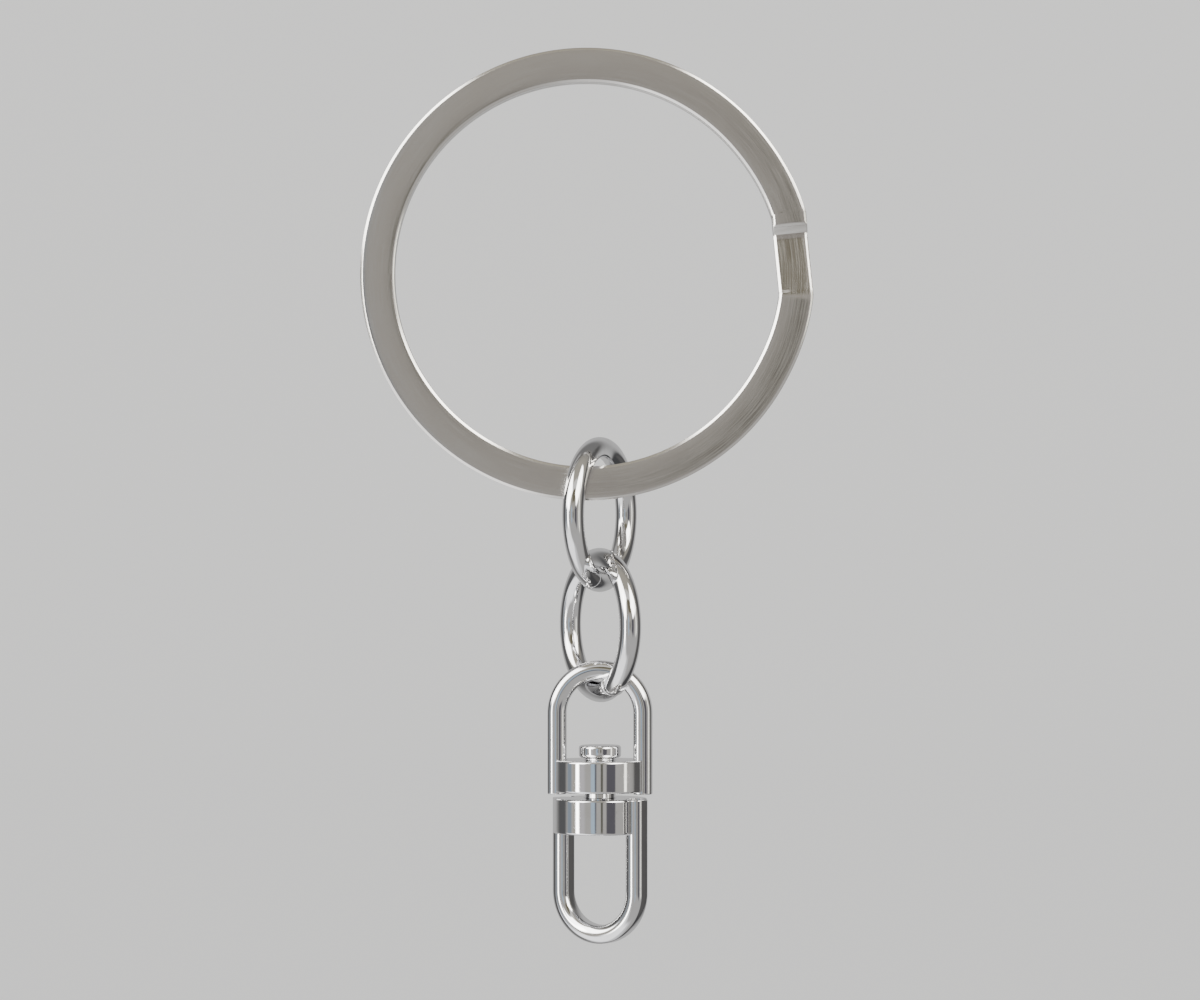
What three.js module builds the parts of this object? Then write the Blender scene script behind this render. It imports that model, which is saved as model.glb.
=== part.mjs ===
// Split key ring with two jump rings and a two-bail swivel.
//
// Frame: millimetres, +Z up. The origin is the inside top of the split ring, where a hook or a
// finger holds it. The ring lies in the XZ plane with its front face towards -Y, and the chain
// hangs along -Z, a little to the right of the ring's lowest point.

import * as THREE from 'three';

// ---------------------------------------------------------------- driving dimensions

// Split ring: one flat wire wound in two turns that lie face to face.
const RING_OUTER_DIAMETER = 30.0;
const RING_WIRE_WIDTH = 2.265;
const RING_TURN_THICKNESS = 1.0;
const RING_TURN_GAP = 0.06;
const RING_EDGE_CHAMFER = 0.16;
const RING_FREE_END_ANGLE = 12.7; // front turn's cut end, in degrees from +X towards +Z
const RING_FREE_END_SLANT = 0.34; // half the length of that cut end's slope
const RING_JOG_START = -5.8; // where the wire leaves the front layer
const RING_JOG_END = 10.9; // where it has reached the back layer
const RING_STEPS_PER_TURN = 128;
const RING_STEPS_IN_JOG = 6;

// The jog is drawn straight, so the ring's outline has a chord between two low shoulders.
const CHORD_CENTRE_ANGLE = 5.25;
const CHORD_HALF_ANGLE = 10.75;
const CHORD_SHOULDER_RISE = 0.1;
const CHORD_SHOULDER_FADE = 25.0;

// Chain: everything below the ring hangs on this vertical line.
const CHAIN_X = 0.89;

// Jump rings: round wire, closed with a butt joint. A turn of 0 puts the ring in the XZ plane.
const LINK_WIRE_DIAMETER = 1.43;
const LINK_JOINT_GAP = 0.1;
const UPPER_LINK = { outerDiameter: 10.3, centreZ: -28.66, turn: -113.4, jointAngle: -71.0 };
const LOWER_LINK = { outerDiameter: 10.25, centreZ: -36.0, turn: -63.2, jointAngle: -65.0 };

// Swivel bails: wire with straight sides and crowned faces, bent to a U. The straight legs are
// held in the sides of the hubs.
const BAIL_LEG_OFFSET = 2.86;
const BAIL_WIRE_WIDTH = 1.24; // across the leg, in the plane of the U
const BAIL_WIRE_DEPTH = 1.5;
const BAIL_FACE_RISE = 0.48; // how far the crown of each face stands over the straight sides
const UPPER_BAIL = { archZ: -41.84, legEndZ: -47.22, turn: -5.0 };
const LOWER_BAIL = { archZ: -53.68, legEndZ: -47.52, turn: -32.0 };

// Swivel hubs: round discs with a flat on each side, a groove in each flat for a bail's leg,
// and a central bore for the pin.
const HUB_RADIUS = 3.14;
const HUB_FLAT_OFFSET = 2.8;
const HUB_EDGE_BREAK = 0.13;
const LEG_GROOVE_GAP = 0.05;
const UPPER_HUB = { topZ: -44.95, bottomZ: -47.06, boreRadius: 1.09 };
const LOWER_HUB = { topZ: -47.48, bottomZ: -49.8, boreRadius: 1.05 };

// Swivel pin: a button head over the upper hub, and a shank that is fixed in the lower hub.
const PIN_RADIUS = 1.03;
const PIN_HEAD_RADIUS = 1.41;
const PIN_HEAD_TOP_Z = -43.97;
const PIN_HEAD_BOTTOM_Z = -44.8;
const PIN_HEAD_CHAMFER = 0.2;

// Fineness of round shapes.
const ROUND_SEGMENTS = 40;
const WIRE_SEGMENTS = 16;
const LINK_STEPS = 60;
const BAIL_STEPS = 44;

const COLOURS = { satinNickel: 0x8f8a83, polishedChrome: 0xc9cbcf };

// ---------------------------------------------------------------- shared geometry

const DEPTH_AXIS = new THREE.Vector3(0, 1, 0);
const radians = THREE.MathUtils.degToRad;

/** A path in or near the XZ plane that carries a section without twisting it about the path. */
class LevelPath extends THREE.Curve {
  constructor(pointAt) {
    super();
    this.pointAt = pointAt;
  }

  getPoint(t, target = new THREE.Vector3()) {
    return target.copy(this.pointAt(t));
  }

  getPointAt(t, target) {
    return this.getPoint(t, target);
  }

  /** The section's x runs along the depth axis, and its y runs across the path. */
  computeFrenetFrames(steps) {
    const frames = { tangents: [], normals: [], binormals: [] };
    for (let step = 0; step <= steps; step += 1) {
      const tangent = this.getTangent(step / steps);
      const across = new THREE.Vector3().crossVectors(tangent, DEPTH_AXIS).normalize();
      frames.tangents.push(tangent);
      frames.binormals.push(across);
      frames.normals.push(new THREE.Vector3().crossVectors(across, tangent));
    }
    return frames;
  }
}

/** Points along an elliptical arc, both ends included. Angles are in degrees. */
function arcPoints(centreX, centreY, radiusX, radiusY, from, to, segments) {
  const points = [];
  for (let i = 0; i <= segments; i += 1) {
    const angle = radians(from + ((to - from) * i) / segments);
    points.push(
      new THREE.Vector2(centreX + radiusX * Math.cos(angle), centreY + radiusY * Math.sin(angle)),
    );
  }
  return points;
}

/** A closed oval outline, such as the section of a wire. */
function ovalShape(radiusX, radiusY, segments) {
  return new THREE.Shape(arcPoints(0, 0, radiusX, radiusY, 0, 360, segments).slice(0, -1));
}

/** A closed outline with straight sides along x and a half oval at each end. */
function barrelShape(halfX, halfY, rise, segments) {
  const straight = halfX - rise;
  return new THREE.Shape([
    ...arcPoints(straight, 0, rise, halfY, -90, 90, segments / 2),
    ...arcPoints(-straight, 0, rise, halfY, 90, 270, segments / 2),
  ]);
}

function metalPiece(name, geometry, color, roughness) {
  const material = new THREE.MeshStandardMaterial({ color, roughness, metalness: 1.0 });
  const mesh = new THREE.Mesh(geometry, material);
  mesh.name = name;
  return mesh;
}

// ---------------------------------------------------------------- split ring

const ringOuterRadius = RING_OUTER_DIAMETER / 2;
const ringInnerRadius = ringOuterRadius - RING_WIRE_WIDTH;
const ringMidRadius = ringOuterRadius - RING_WIRE_WIDTH / 2;
const ringLayerOffset = (RING_TURN_THICKNESS + RING_TURN_GAP) / 2;

/** Radius of the wire's centre line at an angle: a circle with the flattened stretch of the jog. */
function ringCentreRadius(angle) {
  const away = Math.abs(THREE.MathUtils.euclideanModulo(angle - CHORD_CENTRE_ANGLE + 180, 360) - 180);
  const shoulder = ringMidRadius + CHORD_SHOULDER_RISE;
  if (away < CHORD_HALF_ANGLE) {
    return (shoulder * Math.cos(radians(CHORD_HALF_ANGLE))) / Math.cos(radians(away));
  }
  const fade = THREE.MathUtils.smoothstep(away - CHORD_HALF_ANGLE, 0, CHORD_SHOULDER_FADE);
  return shoulder - CHORD_SHOULDER_RISE * fade;
}

/** The wire's flat section: a rectangle with its four corners cut off. */
function ringSection() {
  const depth = RING_TURN_THICKNESS / 2;
  const across = RING_WIRE_WIDTH / 2;
  const cut = RING_EDGE_CHAMFER;
  const section = new THREE.Shape();
  section.moveTo(-depth + cut, -across);
  section.lineTo(depth - cut, -across);
  section.lineTo(depth, -across + cut);
  section.lineTo(depth, across - cut);
  section.lineTo(depth - cut, across);
  section.lineTo(-depth + cut, across);
  section.lineTo(-depth, across - cut);
  section.lineTo(-depth, -across + cut);
  section.closePath();
  return section;
}

/** Front turn, jog and back turn, each in even steps, with t running from 0 to 1 in all. */
function splitRingPath() {
  const frontEnd = 360 + RING_JOG_START;
  const backStart = 360 + RING_JOG_END;
  const turnAngle = frontEnd - RING_FREE_END_ANGLE;
  const totalSteps = 2 * RING_STEPS_PER_TURN + RING_STEPS_IN_JOG;
  const path = new LevelPath((t) => {
    const step = t * totalSteps;
    const jog = THREE.MathUtils.clamp((step - RING_STEPS_PER_TURN) / RING_STEPS_IN_JOG, 0, 1);
    const frontTurn = Math.min(step / RING_STEPS_PER_TURN, 1);
    const backTurn = Math.max((step - RING_STEPS_PER_TURN - RING_STEPS_IN_JOG) / RING_STEPS_PER_TURN, 0);
    const angle = RING_FREE_END_ANGLE + (frontTurn + backTurn) * turnAngle + jog * (backStart - frontEnd);
    const radius = ringCentreRadius(angle);
    return new THREE.Vector3(
      radius * Math.cos(radians(angle)),
      ringLayerOffset * (2 * jog - 1),
      radius * Math.sin(radians(angle)) - ringInnerRadius,
    );
  });
  return { path, totalSteps };
}

/** Slopes the two cut ends, so that each one tapers from its outer face to the face between turns. */
function slantCutEnds(geometry, path) {
  const position = geometry.attributes.position;
  const vertex = new THREE.Vector3();
  for (const t of [0, 1]) {
    const end = path.getPoint(t);
    const along = path.getTangent(t);
    for (let i = 0; i < position.count; i += 1) {
      vertex.fromBufferAttribute(position, i).sub(end);
      const onCut = Math.abs(vertex.dot(along)) < 0.02 && vertex.length() < RING_WIRE_WIDTH;
      if (onCut) {
        const slope = (-2 * RING_FREE_END_SLANT * vertex.y) / RING_TURN_THICKNESS;
        vertex.addScaledVector(along, slope).add(end);
        position.setXYZ(i, vertex.x, vertex.y, vertex.z);
      }
    }
  }
}

function makeSplitRing() {
  const { path, totalSteps } = splitRingPath();
  const geometry = new THREE.ExtrudeGeometry(ringSection(), { steps: totalSteps, extrudePath: path });
  slantCutEnds(geometry, path);
  return metalPiece('split_ring', geometry, COLOURS.satinNickel, 0.38);
}

// ---------------------------------------------------------------- jump rings

function makeLink(name, { outerDiameter, centreZ, turn, jointAngle }) {
  const radius = (outerDiameter - LINK_WIRE_DIAMETER) / 2;
  const halfGap = THREE.MathUtils.radToDeg(LINK_JOINT_GAP / 2 / radius);
  const sweep = 360 - 2 * halfGap;
  const path = new LevelPath((t) => {
    const angle = radians(jointAngle + halfGap + t * sweep);
    return new THREE.Vector3(radius * Math.cos(angle), 0, radius * Math.sin(angle));
  });
  const section = ovalShape(LINK_WIRE_DIAMETER / 2, LINK_WIRE_DIAMETER / 2, WIRE_SEGMENTS);
  const geometry = new THREE.ExtrudeGeometry(section, { steps: LINK_STEPS, extrudePath: path });
  const link = metalPiece(name, geometry, COLOURS.polishedChrome, 0.08);
  link.position.z = centreZ;
  link.rotation.z = radians(turn);
  return link;
}

// ---------------------------------------------------------------- swivel

/** A U in even steps: up or down one leg, round the arch and back along the other leg. */
function bailPath({ archZ, legEndZ }) {
  const legLength = Math.abs(archZ - legEndZ);
  const archLength = Math.PI * BAIL_LEG_OFFSET;
  const away = Math.sign(archZ - legEndZ);
  return new LevelPath((t) => {
    const travel = t * (2 * legLength + archLength);
    if (travel < legLength) {
      return new THREE.Vector3(-BAIL_LEG_OFFSET, 0, legEndZ + away * travel);
    }
    if (travel > legLength + archLength) {
      const past = travel - legLength - archLength;
      return new THREE.Vector3(BAIL_LEG_OFFSET, 0, archZ - away * past);
    }
    const angle = Math.PI - (travel - legLength) / BAIL_LEG_OFFSET;
    return new THREE.Vector3(
      BAIL_LEG_OFFSET * Math.cos(angle),
      0,
      archZ + away * BAIL_LEG_OFFSET * Math.sin(angle),
    );
  });
}

function makeBail(name, size) {
  const section = barrelShape(BAIL_WIRE_DEPTH / 2, BAIL_WIRE_WIDTH / 2, BAIL_FACE_RISE, WIRE_SEGMENTS);
  const geometry = new THREE.ExtrudeGeometry(section, { steps: BAIL_STEPS, extrudePath: bailPath(size) });
  return metalPiece(name, geometry, COLOURS.polishedChrome, 0.1);
}

/** Outline of a hub from above: two arcs, two flats, and a groove in each flat for a bail's leg. */
function hubOutline() {
  const flatAngle = THREE.MathUtils.radToDeg(Math.acos(HUB_FLAT_OFFSET / HUB_RADIUS));
  const grooveX = BAIL_WIRE_WIDTH / 2 + LEG_GROOVE_GAP;
  const grooveRise = BAIL_FACE_RISE + LEG_GROOVE_GAP;
  const straight = BAIL_WIRE_DEPTH / 2 - BAIL_FACE_RISE;
  const mouth = THREE.MathUtils.radToDeg(Math.acos((BAIL_LEG_OFFSET - HUB_FLAT_OFFSET) / grooveX));
  const rightGroove = [
    ...arcPoints(BAIL_LEG_OFFSET, -straight, grooveX, grooveRise, 180 + mouth, 180, 5),
    ...arcPoints(BAIL_LEG_OFFSET, straight, grooveX, grooveRise, 180, 180 - mouth, 5),
  ];
  const leftGroove = [
    ...arcPoints(-BAIL_LEG_OFFSET, straight, grooveX, grooveRise, mouth, 0, 5),
    ...arcPoints(-BAIL_LEG_OFFSET, -straight, grooveX, grooveRise, 0, -mouth, 5),
  ];
  const frontArc = arcPoints(0, 0, HUB_RADIUS, HUB_RADIUS, 180 + flatAngle, 360 - flatAngle, 14);
  const backArc = arcPoints(0, 0, HUB_RADIUS, HUB_RADIUS, flatAngle, 180 - flatAngle, 14);
  return [...rightGroove, ...backArc, ...leftGroove, ...frontArc];
}

function makeHub(name, { topZ, bottomZ, boreRadius }) {
  const shape = new THREE.Shape(hubOutline());
  const bore = arcPoints(0, 0, boreRadius, boreRadius, 0, -360, ROUND_SEGMENTS).slice(0, -1);
  shape.holes.push(new THREE.Path(bore));
  const geometry = new THREE.ExtrudeGeometry(shape, {
    depth: topZ - bottomZ - 2 * HUB_EDGE_BREAK,
    bevelSize: HUB_EDGE_BREAK,
    bevelOffset: -HUB_EDGE_BREAK,
    bevelThickness: HUB_EDGE_BREAK,
    bevelSegments: 1,
  });
  geometry.translate(0, 0, bottomZ + HUB_EDGE_BREAK);
  return metalPiece(name, geometry, COLOURS.polishedChrome, 0.1);
}

function makePin() {
  const chamferRadius = PIN_HEAD_RADIUS - PIN_HEAD_CHAMFER;
  const profile = [
    new THREE.Vector2(0, LOWER_HUB.bottomZ),
    new THREE.Vector2(PIN_RADIUS, LOWER_HUB.bottomZ),
    new THREE.Vector2(PIN_RADIUS, PIN_HEAD_BOTTOM_Z),
    new THREE.Vector2(chamferRadius, PIN_HEAD_BOTTOM_Z),
    new THREE.Vector2(PIN_HEAD_RADIUS, PIN_HEAD_BOTTOM_Z + PIN_HEAD_CHAMFER),
    new THREE.Vector2(PIN_HEAD_RADIUS, PIN_HEAD_TOP_Z - PIN_HEAD_CHAMFER),
    new THREE.Vector2(chamferRadius, PIN_HEAD_TOP_Z),
    new THREE.Vector2(0, PIN_HEAD_TOP_Z),
  ];
  const geometry = new THREE.LatheGeometry(profile, ROUND_SEGMENTS);
  geometry.rotateX(Math.PI / 2);
  return metalPiece('swivel_pin', geometry, COLOURS.polishedChrome, 0.1);
}

/** One half of the swivel, with its bail turned about the vertical axis. */
function swivelHalf(turn, ...pieces) {
  const half = new THREE.Group();
  half.add(...pieces);
  half.rotation.z = radians(turn);
  return half;
}

// ---------------------------------------------------------------- assembly

const chain = new THREE.Group();
chain.position.x = CHAIN_X;
chain.add(
  makeLink('upper_link', UPPER_LINK),
  makeLink('lower_link', LOWER_LINK),
  swivelHalf(UPPER_BAIL.turn, makeBail('upper_bail', UPPER_BAIL), makeHub('upper_hub', UPPER_HUB)),
  swivelHalf(
    LOWER_BAIL.turn,
    makeBail('lower_bail', LOWER_BAIL),
    makeHub('lower_hub', LOWER_HUB),
    makePin(),
  ),
);

const keyRing = new THREE.Group();
keyRing.add(makeSplitRing(), chain);

export default keyRing;
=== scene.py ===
"""Visual model of a split key ring with two jump rings and a two-bail swivel.

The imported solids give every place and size, and this script dresses them: each piece of metal is
rebuilt with a fine surface, its own finish and its own small marks of making and use.
Lengths inside the classes are millimetres, and meshes are written in metres.
"""

import logging
import math
from dataclasses import dataclass, field
from enum import Enum
from typing import Callable, Sequence

import bmesh
import bpy
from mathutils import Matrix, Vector


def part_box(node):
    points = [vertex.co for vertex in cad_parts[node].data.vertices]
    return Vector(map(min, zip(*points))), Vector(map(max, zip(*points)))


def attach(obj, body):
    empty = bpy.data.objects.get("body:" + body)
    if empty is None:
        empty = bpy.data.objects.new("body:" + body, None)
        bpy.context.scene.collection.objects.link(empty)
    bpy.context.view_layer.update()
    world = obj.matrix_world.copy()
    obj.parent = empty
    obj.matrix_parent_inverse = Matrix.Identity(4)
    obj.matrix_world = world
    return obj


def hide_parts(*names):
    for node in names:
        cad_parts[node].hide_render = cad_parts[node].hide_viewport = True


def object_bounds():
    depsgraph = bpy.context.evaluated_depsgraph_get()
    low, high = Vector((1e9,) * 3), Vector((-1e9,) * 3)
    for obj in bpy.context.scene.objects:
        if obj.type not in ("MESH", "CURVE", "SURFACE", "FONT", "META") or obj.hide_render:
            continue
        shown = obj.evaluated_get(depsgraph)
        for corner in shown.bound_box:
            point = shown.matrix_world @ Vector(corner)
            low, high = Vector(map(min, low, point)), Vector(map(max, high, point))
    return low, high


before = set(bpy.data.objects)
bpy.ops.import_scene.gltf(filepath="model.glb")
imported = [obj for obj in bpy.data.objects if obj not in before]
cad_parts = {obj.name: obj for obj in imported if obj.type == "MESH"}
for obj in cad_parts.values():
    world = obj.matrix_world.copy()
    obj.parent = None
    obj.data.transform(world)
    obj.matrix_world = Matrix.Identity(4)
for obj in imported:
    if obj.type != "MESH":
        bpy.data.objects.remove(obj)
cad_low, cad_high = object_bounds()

log = logging.getLogger("key_ring")

METRES_PER_MM = 0.001
DEGREES_PER_RADIAN = 180.0 / math.pi
CREASE_ANGLE = math.radians(36.0)
DEPTH_AXIS = Vector((0.0, 1.0, 0.0))


# ---------------------------------------------------------------- measures from the frame


@dataclass(frozen=True)
class NodeBox:
    """Lowest and highest corner of a solid of the frame, in millimetres."""

    low: Vector
    high: Vector

    @classmethod
    def of(cls, node: str) -> "NodeBox":
        """Measures one solid.

        Args:
            node: Name of the solid in the frame.

        Returns:
            Its box in millimetres.
        """
        low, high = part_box(node)
        return cls(Vector(low) / METRES_PER_MM, Vector(high) / METRES_PER_MM)

    @property
    def centre(self) -> Vector:
        """Middle of the box."""
        return (self.low + self.high) / 2

    @property
    def size(self) -> Vector:
        """Width, depth and height of the box."""
        return self.high - self.low


# ---------------------------------------------------------------- outlines and sweeps

Outline = list[tuple[float, float]]
Tone = tuple[float, float, float, float]
NEARLY_STRAIGHT = math.radians(85.0)


def oval(radius_x: float, radius_y: float, points: int) -> Outline:
    """Makes an oval outline, counter-clockwise, whose first and last points mirror each other.

    Args:
        radius_x: Half the width.
        radius_y: Half the height.
        points: Number of points.

    Returns:
        The points of the outline.
    """
    turns = (2 * math.pi * (i + 0.5) / points for i in range(points))
    return [(radius_x * math.cos(a), radius_y * math.sin(a)) for a in turns]


def barrel(half_x: float, half_y: float, rise: float, points: int) -> Outline:
    """Makes an outline with straight sides along x and a half oval at each end.

    Args:
        half_x: Half the width, crowns and all.
        half_y: Half the height.
        rise: How far each crown stands over the straight sides.
        points: Number of points, a multiple of four.

    Returns:
        The points of the outline, in the order of an oval's.
    """
    straight = half_x - rise
    return [(x + math.copysign(straight, x), y) for x, y in oval(rise, half_y, points)]


def rounded(corners: Sequence[tuple[float, float]], radius: float, steps: int) -> Outline:
    """Rounds every corner of a convex polygon with an arc.

    Args:
        corners: Counter-clockwise corners.
        radius: Radius of the arcs.
        steps: Straight pieces in each arc.

    Returns:
        The outline with its corners rounded.
    """
    outline: Outline = []
    count = len(corners)
    for i, corner in enumerate(corners):
        here = Vector(corner)
        back = (Vector(corners[i - 1]) - here).normalized()
        ahead = (Vector(corners[(i + 1) % count]) - here).normalized()
        half = back.angle(ahead) / 2
        if half > NEARLY_STRAIGHT:
            outline.append((here.x, here.y))
            continue
        centre = here + (back + ahead).normalized() * (radius / math.sin(half))
        start = here + back * (radius / math.tan(half)) - centre
        first = math.atan2(start.y, start.x)
        sweep = math.pi - 2 * half
        for step in range(steps + 1):
            angle = first + sweep * step / steps
            outline.append((centre.x + radius * math.cos(angle), centre.y + radius * math.sin(angle)))
    return outline


def drawn_in(outline: Outline, inset: float) -> Outline:
    """Moves each point of a counter-clockwise outline inwards along its own normal.

    Args:
        outline: The outline.
        inset: How far it moves in.

    Returns:
        The smaller outline, with as many points.
    """
    moved: Outline = []
    count = len(outline)
    for i, (x, y) in enumerate(outline):
        before, after = outline[i - 1], outline[(i + 1) % count]
        along = Vector((after[0] - before[0], after[1] - before[1])).normalized()
        moved.append((x - along.y * inset, y + along.x * inset))
    return moved


@dataclass(frozen=True)
class Station:
    """One place along a swept wire, where the wire's section is drawn."""

    centre: Vector
    along: Vector
    inset: float = 0.0
    bevel: float = 0.0
    outer_side: float = 1.0

    @property
    def across(self) -> Vector:
        """Direction across the wire, in the plane that it is bent in."""
        return self.along.cross(DEPTH_AXIS).normalized()

    @property
    def depth(self) -> Vector:
        """Direction out of the plane that the wire is bent in."""
        return self.across.cross(self.along)

    def point(self, depth: float, across: float, half_depth: float) -> Vector:
        """Places one point of the section.

        Args:
            depth: Distance out of the plane that the wire is bent in.
            across: Distance across the wire.
            half_depth: Half of the section's depth.

        Returns:
            The point, in millimetres.
        """
        outwards = max(0.0, self.outer_side * depth) / half_depth
        tip = -self.outer_side * self.bevel * outwards
        return self.centre + self.depth * depth + self.across * across + self.along * tip


@dataclass
class Wire:
    """A wire bent in or near an upright plane, with its two cut ends eased.

    A route gives the centre line by distance. A bevel cuts the outer face back at the two ends: the
    first end's outer face is its front, and the last end's is its back.
    """

    outline: Outline
    route: Callable[[float], Vector]
    length: float
    steps: int
    end_round: float
    end_bevel: float = 0.0
    bevel_reach: float = 2.2
    end_steps: int = 4

    def _direction(self, distance: float) -> Vector:
        """Finds the wire's direction.

        Args:
            distance: Distance from the wire's first end.

        Returns:
            Unit vector along the wire.
        """
        nudge = 0.02
        low, high = max(distance - nudge, 0.0), min(distance + nudge, self.length)
        return (self.route(high) - self.route(low)).normalized()

    def _station(self, distance: float, inset: float) -> Station:
        """Places one section, cut back near the ends by the wire's bevel.

        Args:
            distance: Distance from the wire's first end.
            inset: How far the section is drawn in.

        Returns:
            The station.
        """
        from_end = min(distance, self.length - distance)
        bevel = self.end_bevel * max(0.0, 1.0 - from_end / self.bevel_reach)
        outer_side = 1.0 if distance > self.length / 2 else -1.0
        return Station(self.route(distance), self._direction(distance), inset, bevel, outer_side)

    def stations(self) -> list[Station]:
        """Lists the sections from one cut end to the other.

        Returns:
            The stations, closer together where the ends are eased.
        """
        eased = []
        for i in range(self.end_steps):
            angle = math.pi / 2 * i / self.end_steps
            rise, inset = self.end_round * (1 - math.cos(angle)), self.end_round * (1 - math.sin(angle))
            eased.append((rise, inset))
        body_length = self.length - 2 * self.end_round
        body = [(self.end_round + body_length * i / self.steps, 0.0) for i in range(self.steps + 1)]
        far = [(self.length - rise, inset) for rise, inset in reversed(eased)]
        return [self._station(distance, inset) for distance, inset in [*eased, *body, *far]]

    def mesh(self, name: str) -> bpy.types.Object:
        """Builds the wire as one closed mesh.

        Args:
            name: Name of the piece.

        Returns:
            The new object.
        """
        build = bmesh.new()
        half_depth = max(depth for depth, _ in self.outline)
        loops = []
        for station in self.stations():
            section = drawn_in(self.outline, station.inset) if station.inset else self.outline
            points = [station.point(depth, across, half_depth) for depth, across in section]
            loops.append([build.verts.new(point * METRES_PER_MM) for point in points])
        join_loops(build, loops)
        close_end(build, loops[0])
        close_end(build, loops[-1])
        return finish_mesh(build, name)


def level_loop(build: bmesh.types.BMesh, points: Outline, z: float) -> list[bmesh.types.BMVert]:
    """Adds one level loop of vertices, at height z, from points in millimetres."""
    return [build.verts.new(Vector((x, y, z)) * METRES_PER_MM) for x, y in points]


def join_loops(build: bmesh.types.BMesh, loops: Sequence[Sequence[bmesh.types.BMVert]]) -> None:
    """Joins each closed loop of vertices to the next one with four-sided faces.

    Args:
        build: Mesh that the loops belong to.
        loops: Loops with equal numbers of vertices.
    """
    for near, far in zip(loops, loops[1:]):
        count = len(near)
        for i in range(count):
            j = (i + 1) % count
            build.faces.new((near[i], near[j], far[j], far[i]))


def close_end(build: bmesh.types.BMesh, loop: Sequence[bmesh.types.BMVert]) -> None:
    """Closes a wire's end with strips from each point of the section to its mirror image.

    Args:
        build: Mesh that the loop belongs to.
        loop: Vertices of the end, the first half mirroring the last half.
    """
    count = len(loop)
    for i in range(count // 2 - 1):
        build.faces.new((loop[i], loop[i + 1], loop[count - 2 - i], loop[count - 1 - i]))


def smooth_object(build: bmesh.types.BMesh, name: str) -> bpy.types.Object:
    """Turns built faces into an object that shades smoothly.

    Args:
        build: The finished faces, which this call frees.
        name: Name of the object.

    Returns:
        The new object, linked to the scene.
    """
    bmesh.ops.recalc_face_normals(build, faces=build.faces)
    mesh = bpy.data.meshes.new(name)
    build.to_mesh(mesh)
    build.free()
    mesh.shade_smooth()
    made = bpy.data.objects.new(name, mesh)
    bpy.context.scene.collection.objects.link(made)
    return made


def finish_mesh(build: bmesh.types.BMesh, name: str) -> bpy.types.Object:
    """Turns built faces into a piece with smooth curves and crisp corners.

    Args:
        build: The finished faces, which this call frees.
        name: Name of the piece.

    Returns:
        The new object, linked to the scene.
    """
    piece = smooth_object(build, name)
    piece.data.set_sharp_from_angle(angle=CREASE_ANGLE)
    flats = piece.modifiers.new("flat_faces", "WEIGHTED_NORMAL")
    flats.weight = 100
    flats.keep_sharp = True
    return piece


def turned(point: tuple[float, float], angle: float) -> tuple[float, float]:
    """Turns a point about the origin.

    Args:
        point: The point.
        angle: Angle in degrees, counter-clockwise.

    Returns:
        The turned point.
    """
    c, s = math.cos(math.radians(angle)), math.sin(math.radians(angle))
    return point[0] * c - point[1] * s, point[0] * s + point[1] * c


def turn_about_z(piece: bpy.types.Object, axis_x: float, angle: float) -> None:
    """Turns a mesh about a vertical axis and moves it there from the origin.

    Args:
        piece: Object whose vertices are turned.
        axis_x: Where the axis crosses X, in millimetres.
        angle: Angle in degrees.
    """
    for vertex in piece.data.vertices:
        x, y = turned((vertex.co.x, vertex.co.y), angle)
        vertex.co = (x + axis_x * METRES_PER_MM, y, vertex.co.z)


# ---------------------------------------------------------------- shader helpers


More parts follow.
